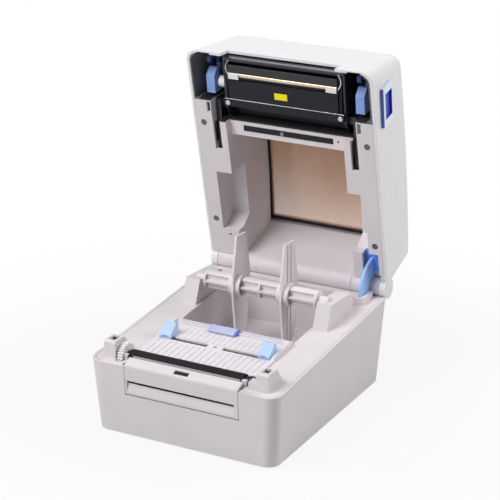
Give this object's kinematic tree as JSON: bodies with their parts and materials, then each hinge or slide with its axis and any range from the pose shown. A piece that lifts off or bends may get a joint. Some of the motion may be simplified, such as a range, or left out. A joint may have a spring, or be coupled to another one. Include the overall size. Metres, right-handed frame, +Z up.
{
  "type": "thermal label printer",
  "caption": "Desktop thermal label printer, lid raised: platen roller with gear drive, sliding label guides, roll spindle with tabs, sprung print head, latches and tinted window.",
  "frame": {"origin": "on the table, under the middle of the part's bounding box with the lid raised", "axes": "+X to the right seen from the front, +Y from the front to the back, +Z up"},
  "size_m": [0.1998, 0.3014, 0.3242],
  "materials": {
    "white_case": "fine satin texture",
    "grey_deck": "fine matte texture",
    "black_plastic": "satin",
    "rubber": "matte",
    "steel": "brushed",
    "aluminium": "satin",
    "grey_bed": "satin",
    "scale_print": "printed film",
    "white_gear": "satin",
    "brass": "machined",
    "blue_plastic": "satin",
    "lavender_plastic": "satin",
    "grey_tab": "satin",
    "amber_window": "clear gloss",
    "head_glaze": "polished glaze",
    "green_board": "solder mask",
    "button_grey": "satin",
    "clear_lens": "clear gloss"
  },
  "bodies": {
    "base": {"lower_case": "white_case", "rubber_feet": "rubber", "base_screws": "steel", "inner_deck": "grey_deck", "hinge_pins": "steel", "front_panel": "white_case", "panel_sensor": "black_plastic", "tear_bar": "steel", "label_bed": "grey_bed", "label_scale": "scale_print", "pinion_stud": "steel", "platen_bushes": "black_plastic", "drive_plate": "steel", "drive_screws": "steel", "stepper_motor": "steel", "main_board": "green_board", "board_parts": "black_plastic", "board_screws": "steel", "dc_inlet": "black_plastic", "usb_port": "steel", "switch_body": "black_plastic", "roll_spindle": "grey_tab"},
    "lid": {"lid_cover": "white_case", "lid_liner": "grey_deck", "lid_window": "amber_window", "window_gasket": "black_plastic", "lid_screws": "steel", "sensor_cover": "black_plastic", "sensor_lens": "black_plastic", "lid_stay": "blue_plastic", "status_lens": "clear_lens", "panel_board": "green_board", "head_shroud": "black_plastic"},
    "head": {"head_carrier": "black_plastic", "heat_sink": "aluminium", "head_substrate": "head_glaze", "head_cover": "black_plastic", "head_bracket": "steel", "head_screws": "steel", "head_ends": "white_gear", "head_springs": "steel"},
    "platen": {"platen_shaft": "steel", "platen_rubber": "rubber", "platen_gear": "white_gear"},
    "idler": {"idler_gear": "white_gear"},
    "pinion": {"motor_pinion": "brass"},
    "right_guide": {"guide_right": "blue_plastic"},
    "left_guide": {"guide_left": "blue_plastic"},
    "guide_wheel": {"guide_pinion": "white_gear"},
    "slider": {"sensor_slider": "lavender_plastic"},
    "left_tab": {"roll_tab_left": "grey_tab"},
    "right_tab": {"roll_tab_right": "grey_tab"},
    "left_latch": {"latch_left": "blue_plastic"},
    "right_latch": {"latch_right": "blue_plastic"},
    "button": {"feed_button": "button_grey"},
    "rocker": {"switch_rocker": "black_plastic"}
  },
  "joints": [
    {"name": "lid_hinge", "type": "hinge", "parent": "base", "child": "lid", "pos_m": [0, 0.08759, 0.09544], "axis": [1, 0, 0], "range_deg": [0, 81.9]},
    {"name": "head_float", "type": "hinge", "parent": "lid", "child": "head", "pos_m": [0, 0.06635, 0.22029], "axis": [-1, 0, 0], "range_deg": [0, 1.5], "stiffness_Nm_per_rad": 15, "springref_deg": -3.44},
    {"name": "platen_spin", "type": "hinge", "parent": "base", "child": "platen", "pos_m": [0, -0.13101, 0.0748], "axis": [1, 0, 0], "continuous": true},
    {"name": "idler_spin", "type": "hinge", "parent": "base", "child": "idler", "pos_m": [-0.069, -0.11083, 0.05239], "axis": [1, 0, 0], "continuous": true},
    {"name": "pinion_spin", "type": "hinge", "parent": "base", "child": "pinion", "pos_m": [-0.069, -0.09202, 0.0366], "axis": [1, 0, 0], "continuous": true},
    {"name": "right_guide_slide", "type": "slide", "parent": "base", "child": "right_guide", "axis": [-1, 0, 0], "range_m": [0, 0.036]},
    {"name": "left_guide_slide", "type": "slide", "parent": "base", "child": "left_guide", "axis": [1, 0, 0], "range_m": [0, 0.036]},
    {"name": "guide_wheel_spin", "type": "hinge", "parent": "base", "child": "guide_wheel", "pos_m": [0, -0.08601, 0.07007], "axis": [0, 0, 1], "range_deg": [0, 294.67]},
    {"name": "sensor_slide", "type": "slide", "parent": "base", "child": "slider", "axis": [1, 0, 0], "range_m": [-0.025, 0.035]},
    {"name": "left_tab_slide", "type": "slide", "parent": "base", "child": "left_tab", "axis": [1, 0, 0], "range_m": [-0.028, 0.014]},
    {"name": "right_tab_slide", "type": "slide", "parent": "base", "child": "right_tab", "axis": [1, 0, 0], "range_m": [-0.014, 0.028]},
    {"name": "left_latch_slide", "type": "slide", "parent": "lid", "child": "left_latch", "axis": [0, 0.1409, -0.99], "range_m": [0, 0.003]},
    {"name": "right_latch_slide", "type": "slide", "parent": "lid", "child": "right_latch", "axis": [0, 0.1409, -0.99], "range_m": [0, 0.003]},
    {"name": "feed_press", "type": "slide", "parent": "lid", "child": "button", "axis": [0, -0.99, -0.1409], "range_m": [0, 0.001], "stiffness_N_per_m": 1500},
    {"name": "power_rock", "type": "hinge", "parent": "base", "child": "rocker", "pos_m": [-0.045, 0.07641, 0.031], "axis": [1, 0, 0], "range_deg": [0, 14]}
  ],
  "couplings": [
    {"joint": "idler_spin", "follows": "platen_spin", "ratio": -0.59574},
    {"joint": "pinion_spin", "follows": "platen_spin", "ratio": 2},
    {"joint": "left_guide_slide", "follows": "right_guide_slide", "ratio": 1},
    {"joint": "guide_wheel_spin", "follows": "right_guide_slide", "rad_per_m": 142.86}
  ]
}
